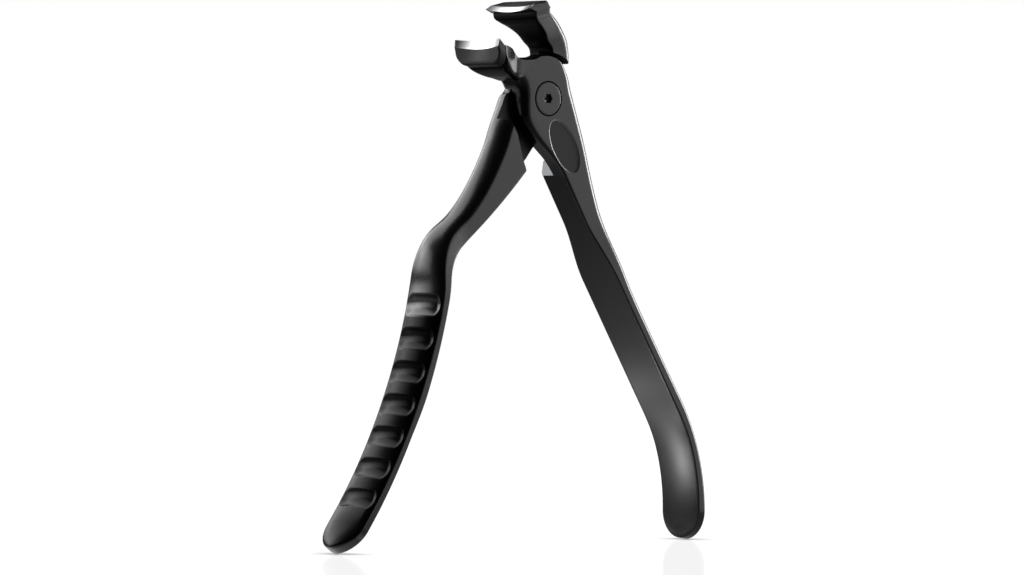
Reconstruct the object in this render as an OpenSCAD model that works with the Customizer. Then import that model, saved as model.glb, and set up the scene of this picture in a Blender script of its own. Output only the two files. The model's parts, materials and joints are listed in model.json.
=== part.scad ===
// Plier-type nail clipper, stood open on its two handle tips.
// X runs to the right, Y to the rear along the pivot axis and Z up, in millimetres.
// Levers are drawn about the pivot, then moved so that the tips stand on Z = 0.

/* [Pivot] */
// Thickness across both halves of the lap joint
joint_t = 9.5; // [8:0.1:12]
// Diameter of the flush head of the pivot screw
screw_head_d = 9; // [8:0.1:9.6]
// Thickness of that head
screw_head_t = 1.6; // [1.2:0.1:2]
// Diameter of the bearing shoulder under the head
shoulder_d = 5; // [4.5:0.1:5.6]
// Diameter of the threaded end
thread_d = 3.5; // [3:0.1:4]
// Diameter of the six-lobe drive across its points
drive_d = 2.8; // [2.2:0.1:3.4]
// Depth of the drive
drive_depth = 1.1; // [0.6:0.1:1.3]
// Diameter of the round nut behind the rear lever
nut_d = 9; // [8:0.1:9.6]
// Thickness of the nut
nut_t = 1.6; // [1.2:0.1:2]
// Diameter of the two spanner holes in the nut
spanner_d = 1.2; // [0.8:0.1:1.5]
// Thickness of the washer between the two levers
washer_t = 0.4; // [0.3:0.1:0.8]
// Outer diameter of that washer
washer_d = 9.4; // [8.6:0.1:9.8]

/* [Return spring] */
// Wire of the ring-shaped return spring
spring_wire = 1.6; // [1:0.1:1.8]
// Mean diameter of the ring
spring_d = 12.4; // [12.2:0.1:13]
// Angle that the ring covers
spring_turn = 300; // [270:5:320]
// How far each end leg reaches into its lever
spring_leg = 2.4; // [1.8:0.1:2.8]

/* [Jaws] */
// Distance from the pivot to the ends of the cutting edge
edge_r = 26; // [24:0.5:30]
// Direction of the lower edge from the pivot
edge_angle = 143.3; // [141:0.1:146]
// Angle between the two edges when the clipper is open
opening_angle = 30; // [26:0.5:32]
// Turn of the parting line away from the line to the pivot
parting_tilt = 18; // [14:1:22]
// Length of the cutting edges
edge_len = 18.4; // [16:0.2:22]
// Depth of the hollow of the edges at the middle
edge_hollow = 1.2; // [0.4:0.1:1.6]
// Height of the ground bevel
bevel_h = 2; // [1.5:0.1:3]
// Tilt of the bevel away from the parting plane
bevel_tilt = 6; // [2:1:12]
// Height of the blade plate below its bevel
plate_h = 5; // [4.2:0.1:6]
// Tilt of the outer face of the plate
plate_tilt = 29; // [24:1:32]
// Thickness of the blade plate
plate_t = 2.2; // [1.8:0.1:2.8]
// Lower corner radius of the lower plate
lower_corner = 3.8; // [2:0.1:4.2]
// Outer corner radius of the upper plate
upper_corner = 1.2; // [0.8:0.1:3]
// Extra length of the plates along their seats, which carries the line of the jaws on
foot_slant = 0.9; // [0:0.05:1.2]

/* [Handles] */
// Length of the rear handle along its path, from the crotch to the tip
handle_len = 120.2; // [106:0.1:136]
// Length of the front handle as a share of the rear one
front_share = 0.9201; // [0.9:0.0001:0.94]
// Curved end of the front handle as a share of its length
curl_share = 0.3415; // [0.28:0.0005:0.4]
// Shank of the rear handle as a share of its length
shank_share = 0.2486; // [0.22:0.0001:0.28]
// Elbow of the rear handle as a share of its length
elbow_share = 0.0878; // [0.06:0.0001:0.11]

/* [Front lever] */
// Radius of the round top of the front half
head_r = 12; // [11.4:0.1:12.6]
// Distance from the pivot to the right edge of the front half
head_right = 10.8; // [10:0.1:11.5]
// Distance from the pivot to the left edge of the front half
head_left = 8.6; // [8:0.1:9]
// Distance from the pivot to the crotch of the front handle
front_root_r = 21.2; // [20.5:0.1:23]
// Direction of that crotch from the pivot
front_root_angle = 285.4; // [284:0.1:289]
// Direction in which the front handle leaves the joint
front_dir = -58.7; // [-62:0.1:-57]
// Turn of the front handle over its curved end
front_curl_turn = 40; // [20:1:45]
// Thickness of the front handle edge where it leaves the joint
front_root_edge = 8.1; // [5:0.1:8.8]
// Length over which the front handle thins down
front_taper = 45; // [30:1:50]

/* [Rear lever] */
// Distance from the pivot to the crotch of the rear handle
rear_root_r = 21; // [20.3:0.1:22]
// Direction of that crotch from the pivot
rear_root_angle = 249.2; // [247:0.1:251]
// Direction in which the rear handle leaves the joint
rear_dir = 225.5; // [222:0.5:228]
// Outward bow of that shank
rear_bow = 9; // [0:0.5:14]
// Turn of the elbow
elbow_turn = 43.1; // [36:0.1:48]
// Turn of the grip over its length
rear_grip_turn = 28.6; // [15:0.2:35]
// Thickness of the rear handle edge where it leaves the joint
rear_root_edge = 8.9; // [6:0.1:9.4]
// Length over which the rear handle thins down
rear_taper = 46; // [32:1:52]
// Extra thickness of the edge at the elbow
elbow_edge = 1.9; // [0:0.1:2.8]
// Drop of the crown at the elbow
elbow_flat = 2.6; // [0:0.1:2.8]
// Length of the thicker stretch at the elbow
elbow_swell = 24; // [16:1:28]

/* [Grips] */
// Width of both grips
grip_w = 15; // [12:0.1:18]
// Thickness of the edges of the grips where they begin
grip_edge = 1; // [0.6:0.1:1.8]
// Thickness of the edges of the grips at the tips
tip_edge = 2.2; // [1:0.1:2.8]
// Height of the rounded outer face above the edges
crown = 3.5; // [3:0.1:4.6]
// Number of finger pockets on the rear grip
pocket_n = 7; // [3:1:7]
// Distance from pocket to pocket
pocket_pitch = 9.4; // [8.4:0.1:9.8]
// Length of a pocket along the grip
pocket_len = 6; // [4:0.1:8]
// Depth of a pocket
pocket_depth = 1.1; // [0.4:0.1:1.6]
// Distance from the end of the elbow to the first pocket
pocket_start = 7.8; // [6:0.1:9]
// Reach of a pocket from the middle of the grip toward the front edge
pocket_front = 7; // [5.5:0.1:7.2]
// Reach of a pocket from the middle of the grip toward the rear edge
pocket_rear = 6; // [4.5:0.1:6.5]
// Length of the round run-out at the front end of a pocket
pocket_round = 1.6; // [1:0.1:3]
// Length of the run-out at the rear end of a pocket
pocket_fade = 3.6; // [1:0.1:4]

/* [Emblem recess] */
// Length of the oval recess
oval_len = 16.2; // [12:0.1:17]
// Width of the oval recess
oval_w = 8.2; // [6:0.1:8.6]
// Depth of the oval recess
oval_depth = 0.5; // [0.3:0.1:0.8]

/* [Fits] */
// Radial clearance of the rear lever on the shoulder
running_fit = 0.04; // [0.02:0.01:0.08]
// Radial gap round the screw head and the nut
head_gap = 0.15; // [0.08:0.01:0.25]
// Side play of the rear lever between the washer and the nut
side_play = 0.05; // [0.02:0.01:0.1]
// Gap between a lever and the round edge of the other
lap_gap = 0.4; // [0.3:0.05:0.6]
// Room round the return spring in its groove
spring_room = 0.15; // [0.1:0.05:0.2]
// Step of the jaw behind the rim of its blade
seat_step = 0.15; // [0.1:0.05:0.4]

/* [Hidden] */
$fn = 64;

half_t = joint_t / 2;
half_grip = grip_w / 2;
half_edge = edge_len / 2;
reach = edge_r + rear_root_r;
front_curl = handle_len * front_share * curl_share;
front_straight = handle_len * front_share - front_curl;
rear_shank = handle_len * shank_share;
elbow_len = handle_len * elbow_share;
rear_grip = handle_len - rear_shank - elbow_len;

// Plane geometry

function polar(r, a) = r * [cos(a), sin(a)];
function turned(p, a) = [p[0] * cos(a) - p[1] * sin(a), p[0] * sin(a) + p[1] * cos(a)];
function clamped(t) = min(1, max(0, t));
function smooth(t) = let (u = clamped(t)) u * u * (3 - 2 * u);
function mix(a, b, t) = a + (b - a) * t;

// End of an arc of given length and turn that starts at p in direction d
function arc_end(p, d, l, turn) =
    turn == 0 ? p + polar(l, d)
    : let (r = l * 180 / PI / turn)
      p + r * [sin(d + turn) - sin(d), cos(d) - cos(d + turn)];

// Place and direction at length s on a path of [length, turn] pieces
function path_at(pieces, p, d, s, i = 0) =
    let (l = pieces[i][0], turn = pieces[i][1])
    i == len(pieces) - 1 || s <= l
        ? [arc_end(p, d, s, turn * s / l), d + turn * s / l]
        : path_at(pieces, arc_end(p, d, l, turn), d + turn, s - l, i + 1);

function path_len(pieces) = [for (q = pieces) q[0]] * [for (q = pieces) 1];

// Jaw frame: the edge in the closed clipper, the outward parting line and the side of the lower jaw
edge_point = polar(edge_r, edge_angle);
parting = polar(1, edge_angle + parting_tilt);
below = polar(1, edge_angle + parting_tilt + 90);

// A point of the blade section; side is 1 for the lower blade and -1 for the upper, which is turned open
function blade_point(pq, side) =
    let (p = edge_point + pq[0] * parting + side * pq[1] * below)
    side > 0 ? p : turned(p, -opening_angle);

bevel_end = bevel_h * [-sin(bevel_tilt), cos(bevel_tilt)];
face_dir = [-sin(plate_tilt), cos(plate_tilt)];
inward = [-cos(plate_tilt), -sin(plate_tilt)];
seat_lip = 0.2;
seat_top = bevel_end + plate_t * inward + seat_lip * face_dir;

// Seat of the blade on its jaw at a distance l down the plate
function seat_point(l) = bevel_end + plate_t * inward + l * face_dir;

// Lever section: a ring from the flat inner side i to the crowned outer side o.
// h is half the width, c the height of the crown, r the rounding of the inner corners
// and dent the share of a finger pocket's depth. A station is one row of these numbers.
function station(i, o, h, c, r, dent = 0) = [i[0], i[1], o[0], o[1], h, c, r, dent];

corner_steps = [90, 60, 30, 0];
crown_steps = [0, 12, 24, 36, 50, 65, 78];

// Depth of a pocket at width y, where its middle would have the given share of the full depth
function pocket_dent(share, y) =
    let (e = y < 0 ? (-y - pocket_front + pocket_round) / pocket_round
                   : (y - pocket_rear + pocket_fade) / pocket_fade)
    pocket_depth * max(0, share - pow(max(0, e), 2));

function half_ring(t, h, c, r) = concat(
    [for (a = corner_steps) [r * (1 - sin(a)), h - r * (1 - cos(a))]],
    [for (a = crown_steps) [t - c + c * sin(a), h * cos(a)]]);

function ring(st) =
    let (i = [st[0], st[1]], o = [st[2], st[3]], h = st[4], c = st[5], r = st[6], share = st[7],
         t = norm(o - i), dir = (o - i) / t,
         side = half_ring(t, h, c, r), n = len(side))
    [for (q = concat([for (k = [n - 1:-1:0]) [side[k][0], -side[k][1]]], side, [[t, 0]]))
        let (dent = q[0] < t - c ? 0 : pocket_dent(share, q[1]), p = i + (q[0] - dent) * dir)
        [p[0], q[1], p[1]]];

// Stations of a handle, from its tip to its root
tip_steps = [84, 70, 56, 42, 28, 14];
tip_slim = 0.3;
tip_inset = 0.12;
edge_growth = 1.5;
edge_corner = 0.35;
root_corner = 0.5;
corner_share = 0.4;

// Share of the depth of the pockets at length s, where the middle of the first lies at length first
function pocket_at(s, first, n) =
    let (k = round((s - first) / pocket_pitch), x = 2 * (s - first - k * pocket_pitch) / pocket_len)
    k < 0 || k >= n ? 0 : max(0, 1 - x * x);

// side is 1 or -1 for the side of the path on which the crown lies, swell the place of the thicker stretch
function handle_station(pieces, start, dir, side, s, root_edge, taper, wide, swell, first, n) =
    let (l = path_len(pieces),
         at = path_at(pieces, start, dir, s),
         u = clamped((s - l + half_grip) / half_grip),
         round_end = sqrt(1 - u * u),
         thin = pow(1 - clamped(s / taper), 2),
         h = mix(half_t, half_grip, smooth((s - wide[0]) / (wide[1] - wide[0]))) * round_end,
         rise = abs(s - swell) < elbow_swell / 2 ? pow(cos(180 * (s - swell) / elbow_swell), 2) : 0,
         growth = (tip_edge - grip_edge) * pow(s / l, edge_growth),
         edge = mix(grip_edge, root_edge, thin) + growth + elbow_edge * rise,
         c = (crown - growth - elbow_flat * rise) * mix(tip_slim, 1, round_end),
         t = edge + c,
         out = polar(1, at[1] + side * 90),
         inset = tip_inset * (1 - round_end) * t,
         r = min(edge_corner + root_corner * thin, corner_share * h))
    station(at[0] + inset * out, at[0] + (t + inset) * out, h, c, r, pocket_at(s, first, n));

// Lengths from the tip to the root: round the tip, then from end to begin in equal steps
function tip_lengths(l) = [for (a = tip_steps) l - half_grip + half_grip * sin(a)];
function even_lengths(end, begin, steps) = [for (k = [steps:-1:0]) mix(begin, end, k / steps)];

// Stations of a head, eased between the given ones by a cubic through its neighbours
ease_steps = 3;

function eased(first, head) =
    let (rows = concat([first], head), n = len(rows))
    [for (k = [0:n - 2]) for (j = [1:ease_steps])
        let (u = j / ease_steps,
             a = rows[max(0, k - 1)], b = rows[k], c = rows[k + 1], d = rows[min(n - 1, k + 2)])
        b + u * (c - a) / 2 + u * u * (a - 2.5 * b + 2 * c - 0.5 * d)
          + u * u * u * (1.5 * (b - c) + (d - a) / 2)];

// Front lever: right handle, front half of the lap and lower jaw
front_root = polar(front_root_r, front_root_angle);
front_pieces = [[front_straight, 0], [front_curl, -front_curl_turn]];
front_wide = [14, 33];
front_len = path_len(front_pieces);
front_handle = [for (s = concat(tip_lengths(front_len), even_lengths(front_len - half_grip, 0, 34)))
    handle_station(front_pieces, front_root, front_dir, 1, s, front_root_edge, front_taper,
                   front_wide, -elbow_swell, 0, 0)];

// Outline of the head, from the crotch up the left side and over the round top to the neck
front_left = [front_root + [-3.2, 4.1], [-3.9, -10.7], [-head_left + 0.9, -6.4], [-head_left, -2.4],
              [-head_left - 0.1, 0.4], [-head_left - 0.3, 2.2], [-head_left - 0.6, 3.3],
              [-head_left - 0.9, 4.0], [-head_left - 1.1, 4.4], [-head_left - 1.3, 4.7]];
front_right = [[head_right + 3.5, -10.4], [head_right + 1.9, -5.6], [head_right + 0.4, -1.2],
               [head_right - 0.8, 2.6], [head_right - 2.0, 6.0], polar(head_r - 0.7, 52),
               polar(head_r, 66), polar(head_r, 82), polar(head_r, 98), polar(head_r - 0.1, 112)];
front_crown = [crown, crown, crown, 3.6, 3.0, 2.2, 1.6, 1.2, 1.1, 1.0];
front_soft = [1.0, 1.5, 2.2, 2.7, 2.9, 2.9, 2.8, 2.6, 2.4, 2.1];

// Neck and lower jaw; the shares run from the neck to the seat of the blade
neck_under = [-10.2, 4.7];
neck_floor = [-9.6, 11.1];
lower_seat = [blade_point(seat_point(plate_h + foot_slant - seat_step), 1), blade_point(seat_top, 1)];
lower_share = [0.25, 0.45, 0.7, 0.9];
lower_sag = [0.3, 0.5, 0.6, 0.5];
lower_rise = [0.55, 1.2, 1.0, 0.55];
lower_spread = [0.15, 0.4, 0.72, 0.95];
lower_crown = [0.8, 0.7, 0.55, 0.4];
lower_soft = [1.6, 1.6, 2.2, 3.2];
seat_half = half_edge - seat_step;
seat_crown = 0.3;
neck_row = [half_t + 0.2, 0.9, 1.8];

front_head = concat(
    [for (k = [0:len(front_left) - 1])
        station(front_left[k], front_right[k], half_t, front_crown[k], front_soft[k])],
    [station(neck_under, neck_floor, neck_row[0], neck_row[1], neck_row[2])],
    [for (k = [0:len(lower_share) - 1])
        station(mix(neck_under, lower_seat[0], lower_share[k]) - [0, lower_sag[k]],
                mix(neck_floor, lower_seat[1], lower_share[k]) + [0, lower_rise[k]],
                mix(half_t, seat_half, lower_spread[k]), lower_crown[k], lower_soft[k])],
    [station(lower_seat[0], lower_seat[1], seat_half, seat_crown, lower_corner - seat_step)]);

front_stations = concat(front_handle, eased(front_handle[len(front_handle) - 1], front_head));

// Rear lever: left handle, rear half of the lap and upper jaw
rear_root = polar(rear_root_r, rear_root_angle);
rear_pieces = [[rear_shank, -rear_bow], [elbow_len, elbow_turn], [rear_grip, -rear_grip_turn]];
rear_wide = [14, 40];
elbow_lead = 0.1;
elbow_at = rear_shank + elbow_lead * elbow_len;
first_pocket = rear_shank + elbow_len + pocket_start;
pockets = min(pocket_n, 1 + floor((rear_grip - pocket_start - half_grip - pocket_len / 2) / pocket_pitch));
pocket_steps = [1, 0.85, 0.45, 0, -0.45, -0.85, -1];
pocket_lengths = [for (k = [pockets - 1:-1:0]) for (x = pocket_steps)
    first_pocket + k * pocket_pitch + x * pocket_len / 2];
rear_lengths = concat(tip_lengths(handle_len), [handle_len - half_grip], pocket_lengths,
                      even_lengths(first_pocket - pocket_len / 2 - 1, 0, 30));
rear_handle = [for (s = rear_lengths)
    handle_station(rear_pieces, rear_root, rear_dir, -1, s, rear_root_edge, rear_taper,
                   rear_wide, elbow_at, first_pocket, pockets)];

// Outline of the rear half of the lap: the lower right side and the round left side
lap_r = 8.9;
rear_right = [rear_root + [3.5, 3.3], [-1.0, -12.8], [3.2, -8.9], [6.5, -5.3], [8.2, -2.0],
              [8.8, 1.4], [8.9, 4.4], [8.8, 7.0], [8.1, 9.5]];
rear_left = [[-14.5, -6.6], [-12.4, -2.5], [-10.9, 0.8], polar(lap_r + 0.9, 171), polar(lap_r, 162),
             polar(lap_r, 150), polar(lap_r, 128), polar(lap_r, 106), [0.4, 10.4]];
rear_crown = [crown - 0.2, crown - 0.8, 2.4, 1.8, 1.4, 1.1, 1.0, 0.9, 0.9];
rear_soft = [0.9, 1.0, 1.1, 1.2, 1.2, 1.2, 1.3, 1.5, 1.8];

// Arm and upper jaw; the shares run from the arm to the seat of the blade
arm_outer = [8.4, 11.8];
arm_inner = [0.7, 13.4];
arm_row = [half_t + 0.1, 0.9, 2.0];
upper_seat = [blade_point(seat_point(plate_h + foot_slant - seat_step), -1), blade_point(seat_top, -1)];
upper_share = [0.2, 0.4, 0.6, 0.78, 0.92];
upper_bulge = [1.4, 1.5, 1.0, 0.2, -0.6];
bulge_dir = [0.8, 0.6];
upper_lip = [[-0.1, 0], [0.2, 0.1], [-0.2, -0.1], [-0.6, -0.6], [-0.6, -0.8]];
upper_spread = [0.1, 0.28, 0.5, 0.72, 0.92];
upper_crown = [0.9, 0.8, 0.7, 0.55, 0.4];
upper_soft = [2.0, 2.0, 1.8, 1.5, 1.2];

rear_head = concat(
    [for (k = [0:len(rear_right) - 1])
        station(rear_right[k], rear_left[k], half_t, rear_crown[k], rear_soft[k])],
    [station(arm_outer, arm_inner, arm_row[0], arm_row[1], arm_row[2])],
    [for (k = [0:len(upper_share) - 1])
        station(mix(arm_outer, upper_seat[0], upper_share[k]) + upper_bulge[k] * bulge_dir,
                mix(arm_inner, upper_seat[1], upper_share[k]) + upper_lip[k],
                mix(half_t, seat_half, upper_spread[k]), upper_crown[k], upper_soft[k])],
    [station(upper_seat[0], upper_seat[1], seat_half, seat_crown, upper_corner - seat_step)]);

rear_stations = concat(rear_handle, eased(rear_handle[len(rear_handle) - 1], rear_head));

front_rings = [for (st = front_stations) ring(st)];
rear_rings = [for (st = rear_stations) ring(st)];

// The clipper stands on Z = 0 and is centred over the origin
all_x = [for (rings = [front_rings, rear_rings]) for (g = rings) for (p = g) p[0]];
all_z = [for (rings = [front_rings, rear_rings]) for (g = rings) for (p = g) p[2]];
pivot_at = [-(min(all_x) + max(all_x)) / 2, 0, -min(all_z)];

// Solids

// A loft over rings of equal length, closed by a flat face at each end
module loft(rings, flip) {
    n = len(rings[0]);
    m = len(rings);
    walls = [for (j = [0:m - 2]) for (k = [0:n - 1])
        let (a = j * n + k, b = j * n + (k + 1) % n, c = b + n, d = a + n)
        each [[a, b, c], [a, c, d]]];
    ends = [[for (k = [n - 1:-1:0]) k], [for (k = [0:n - 1]) (m - 1) * n + k]];
    faces = concat(walls, ends);
    polyhedron([for (g = rings) each g],
               flip ? [for (f = faces) [for (k = [len(f) - 1:-1:0]) f[k]]] : faces);
}

// Puts a drawing of the X-Z plane at height y and draws it on toward the rear
module to_rear(y, depth) {
    translate([0, y, 0]) rotate([90, 0, 0]) mirror([0, 0, 1]) linear_extrude(depth) children();
}

// A cylinder on the pivot axis from y0 to y1
module on_axis(d, y0, y1) {
    translate([0, y0, 0]) rotate([-90, 0, 0]) cylinder(d = d, h = y1 - y0);
}

module at_pivot() {
    translate(pivot_at) children();
}

// Groove for the return spring in the lap face at y
module spring_groove(y, depth) {
    groove_w = spring_wire + 2 * spring_room;
    translate([0, y, 0]) rotate([-90, 0, 0]) difference() {
        translate([0, 0, -depth]) cylinder(d = spring_d + groove_w, h = 2 * depth);
        translate([0, 0, -2 * depth]) cylinder(d = spring_d - groove_w, h = 4 * depth);
    }
}

module spring_leg_hole(toward, leg_angle, fit) {
    p = polar(spring_d / 2, leg_angle);
    translate([p[0], 0, p[1]]) rotate([-90 * toward, 0, 0])
        cylinder(d = spring_wire + 2 * fit, h = spring_leg + spring_room);
}

rear_lap = washer_t / 2 + side_play;
groove_depth = (spring_wire - washer_t) / 2 + spring_room;
leg_front = 250;
leg_rear = leg_front + spring_turn;

// Room that each lever leaves for the other half of the lap
front_keep_jaw = [129, 172];
front_keep_shank = [270, 318];
front_stop = [6.3, -16.6];
neck_ramp = [80, 102];
rear_keep_arm = [40, neck_ramp[1]];
rear_keep_shank = [186, 252];
rear_shoulder = [[-15.9, -4.3], [-12.8, -6.1], [-10.7, -9.8], [-9.0, -15.9], rear_root];
jaw_reach = norm(rear_shoulder[0]) + lap_gap;
crotch_reach = edge_r + lap_r;

// Radius of the room above the round top, which grows toward the neck of the other lever
neck_growth = 3;
function arm_room(a) =
    head_r + lap_gap + neck_growth * smooth((a - neck_ramp[0]) / (neck_ramp[1] - neck_ramp[0]));

stop_angle = 360 + atan2(front_stop[1], front_stop[0]);

// Points round the pivot from one angle to another at radius r
function sweep(r, span) =
    let (n = ceil((span[1] - span[0]) / 6)) [for (k = [0:n]) polar(r, mix(span[0], span[1], k / n))];

module front_lap_room() {
    polygon(concat(sweep(lap_r + lap_gap, front_keep_jaw),
                   sweep(crotch_reach, [front_keep_jaw[1], front_keep_shank[0]]),
                   [front_root, front_stop],
                   sweep(norm(front_stop), [stop_angle + 6, front_keep_shank[1]]),
                   sweep(crotch_reach, [front_keep_shank[1], front_keep_jaw[0] + 360])));
}

module rear_lap_room() {
    polygon(concat([for (a = [rear_keep_arm[0]:2:rear_keep_arm[1]]) polar(arm_room(a), a)],
                   sweep(jaw_reach, [rear_keep_arm[1], rear_keep_shank[0]]),
                   rear_shoulder,
                   sweep(crotch_reach, [rear_keep_shank[1], rear_keep_arm[0] + 360])));
}

oval_at = [5.7, -12.7];

module oval() {
    translate(oval_at) rotate(front_dir)
        polygon([for (a = [0:7.5:352.5]) [oval_len / 2 * cos(a), oval_w / 2 * sin(a)]]);
}

module front_lever() {
    color("#2b2b2d") at_pivot() difference() {
        loft(front_rings, false);
        to_rear(-washer_t / 2, reach) front_lap_room();
        to_rear(-half_t - reach, reach + oval_depth) oval();
        on_axis(screw_head_d + 2 * head_gap, -reach, -half_t + screw_head_t);
        on_axis(shoulder_d, -reach, reach);
        spring_groove(-washer_t / 2, groove_depth);
        spring_leg_hole(-1, leg_front, 0);
    }
}

module rear_lever() {
    color("#252527") at_pivot() difference() {
        loft(rear_rings, true);
        to_rear(-reach, reach + rear_lap) rear_lap_room();
        on_axis(nut_d + 2 * head_gap, half_t - nut_t - side_play, reach);
        on_axis(shoulder_d + 2 * running_fit, -reach, reach);
        spring_groove(rear_lap, groove_depth);
        spring_leg_hole(1, leg_rear, running_fit);
    }
}

// Blade plate: flat seat behind, hollow ground bevel and edge in front, round lower corners
blade_steps = [for (a = [-90:15:90]) sin(a)];

bevel_draw = [0.85, 0.35];

function blade_drop(y, corner) =
    let (over = max(0, abs(y) - half_edge + corner)) corner - sqrt(corner * corner - over * over);

function blade_ring(y, side) =
    let (hollow = edge_hollow * (1 - pow(y / half_edge, 2)),
         l = plate_h - blade_drop(y, side > 0 ? lower_corner : upper_corner),
         outline = [[-hollow, 0], bevel_end + hollow * [-bevel_draw[0], bevel_draw[1]],
                    bevel_end + l * face_dir, seat_point(l + foot_slant), seat_top])
    [for (q = outline) let (p = blade_point(q, side)) [p[0], y, p[1]]];

module blade(side) {
    rings = [for (u = blade_steps) blade_ring(u * half_edge, side)];
    at_pivot() loft(rings, side < 0);
}

module lower_blade() {
    color("#c9ccd0") blade(1);
}

module upper_blade() {
    color("#c9ccd0") blade(-1);
}

// Six-lobe drive: a round core with six round lobes
lobe_share = 0.24;
core_share = 0.74;

module drive_socket() {
    lobe_d = lobe_share * drive_d;
    core_d = core_share * drive_d;
    lobe_r = (drive_d - lobe_d) / 2;
    circle(d = core_d);
    for (k = [0:5]) rotate(60 * k) translate([lobe_r, 0]) circle(d = lobe_d);
    for (k = [0:5]) rotate(60 * k) translate([lobe_r / 2, 0]) square([lobe_r, lobe_d], center = true);
}

// Distance of the end of the thread below the rear face
thread_end = 0.2;

module pivot_screw() {
    color("#303033") at_pivot() difference() {
        union() {
            on_axis(screw_head_d, -half_t, -half_t + screw_head_t);
            on_axis(shoulder_d, -half_t, half_t - nut_t);
            on_axis(thread_d, -half_t, half_t - thread_end);
        }
        to_rear(-half_t - reach, reach + drive_depth) drive_socket();
    }
}

// Depth of the spanner holes of the nut
spanner_depth = 1;

module pivot_nut() {
    spanner_r = (thread_d + nut_d) / 4;
    color("#303033") at_pivot() difference() {
        on_axis(nut_d, half_t - nut_t, half_t);
        on_axis(thread_d, 0, reach);
        for (s = [-1, 1])
            translate([s * spanner_r, 0, 0]) on_axis(spanner_d, half_t - spanner_depth, reach);
    }
}

module lap_washer() {
    color("#b08d57") at_pivot() difference() {
        on_axis(washer_d, -washer_t / 2, washer_t / 2);
        on_axis(shoulder_d + 2 * running_fit, -reach, reach);
    }
}

// Ring of spring wire whose two ends turn into legs along the pivot axis
module return_spring() {
    color("#9a9ca0") at_pivot() {
        rotate([90, 0, 0]) rotate([0, 0, leg_front]) rotate_extrude(angle = spring_turn)
            translate([spring_d / 2, 0]) circle(d = spring_wire);
        spring_leg_rod(-1, leg_front);
        spring_leg_rod(1, leg_rear);
    }
}

module spring_leg_rod(toward, leg_angle) {
    p = polar(spring_d / 2, leg_angle);
    translate([p[0], 0, p[1]]) {
        sphere(d = spring_wire + spring_room / 2);
        rotate([-90 * toward, 0, 0]) cylinder(d = spring_wire, h = spring_leg);
    }
}

front_lever();
rear_lever();
lower_blade();
upper_blade();
pivot_screw();
pivot_nut();
lap_washer();
return_spring();
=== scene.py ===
"""Looks of a plier-type nail clipper that stands open on its two handle tips."""
import json
import math

import bmesh
import bpy
import numpy as np
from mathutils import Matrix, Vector

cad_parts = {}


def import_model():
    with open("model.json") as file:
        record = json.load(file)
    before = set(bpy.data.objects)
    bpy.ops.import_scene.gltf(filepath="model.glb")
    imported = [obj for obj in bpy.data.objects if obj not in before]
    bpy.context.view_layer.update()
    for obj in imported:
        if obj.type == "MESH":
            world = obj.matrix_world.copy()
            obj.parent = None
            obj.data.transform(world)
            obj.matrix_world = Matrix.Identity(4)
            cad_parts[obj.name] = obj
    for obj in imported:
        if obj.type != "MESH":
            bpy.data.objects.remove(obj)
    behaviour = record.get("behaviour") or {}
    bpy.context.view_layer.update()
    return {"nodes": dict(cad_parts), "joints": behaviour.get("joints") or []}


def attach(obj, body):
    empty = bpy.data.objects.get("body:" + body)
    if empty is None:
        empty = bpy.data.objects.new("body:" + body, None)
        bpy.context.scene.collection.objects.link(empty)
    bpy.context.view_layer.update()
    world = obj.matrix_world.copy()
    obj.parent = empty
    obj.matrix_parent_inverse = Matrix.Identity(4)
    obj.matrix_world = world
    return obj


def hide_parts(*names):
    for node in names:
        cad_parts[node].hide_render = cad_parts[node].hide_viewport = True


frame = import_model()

MM = 0.001
PIVOT = np.array(frame["joints"][0]["pos_m"]) / MM

# Sizes in millimetres about the pivot: X right, Y to the rear, Z up
HALF_T = 4.75
LAP_HALF = 0.2
SIDE_PLAY = 0.05
REAR_LAP = LAP_HALF + SIDE_PLAY
HEAD_R = 12.0
HEAD_RIGHT = 10.8
HEAD_LEFT = 8.6
LAP_R = 8.9
LAP_GAP = 0.4
SCREW_R = 4.5
SCREW_HEAD = 1.6
SHOULDER_R = 2.5
THREAD_R = 1.75
DRIVE_R = 1.4
DRIVE_CORE = 1.04
DRIVE_DEPTH = 1.1
DRIVE_SOFT = 0.08
NUT_R = 4.5
NUT_T = 1.6
SPANNER_R = 0.6
SPANNER_DEPTH = 1.0
THREAD_PLAY = 0.01
THREAD_SOFT = 0.3
RIM_GAP = 0.15
RIM_ROUND = 0.3
EDGE_R = 26.0
EDGE_ANGLE = 143.3
OPENING = 30.0
PARTING_TILT = 18.0
HALF_EDGE = 9.2
EDGE_HOLLOW = 1.2
BEVEL_H = 2.0
BEVEL_TILT = 6.0
BEVEL_DRAW = (-0.85, 0.35)
PLATE_H = 5.0
PLATE_TILT = 29.0
PLATE_T = 2.2
LOWER_CORNER = 3.8
UPPER_CORNER = 1.2
FOOT_SLANT = 0.9
SEAT_STEP = 0.15
SEAT_RISE = 0.2
SEAT_CROWN = 0.3
BLADE_SOFT = 0.6
BLADE_STEPS = (10, 12, 6, 5, 8, 5)
GRIP_EDGE = 1.0
GRIP_CORNER = 0.35
ROOT_CORNER = 0.85
TIP_EDGE = 2.2
TIP_INSET = 0.12
TIP_CROWN = 0.3
TIP_SHORT = 0.04
CROWN = 3.4
HALF_GRIP = 7.5
INNER_DOME = 0.3
INNER_HOLLOW = 0.22
HOLLOW_FULL = 30.0
DOME_FROM = 72.0
DOME_BLEND = 14.0
SOFT_RIM = 0.12
STOP_AT = (6.3, -16.6)
OVAL_AT = (5.7, -12.7)
OVAL_HALF = (8.1, 4.1)
OVAL_DEPTH = 0.3
OVAL_SLOPE = 0.44
FAR = 40.0
SCREW_STEPS = 192
NUT_STEPS = 96

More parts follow.
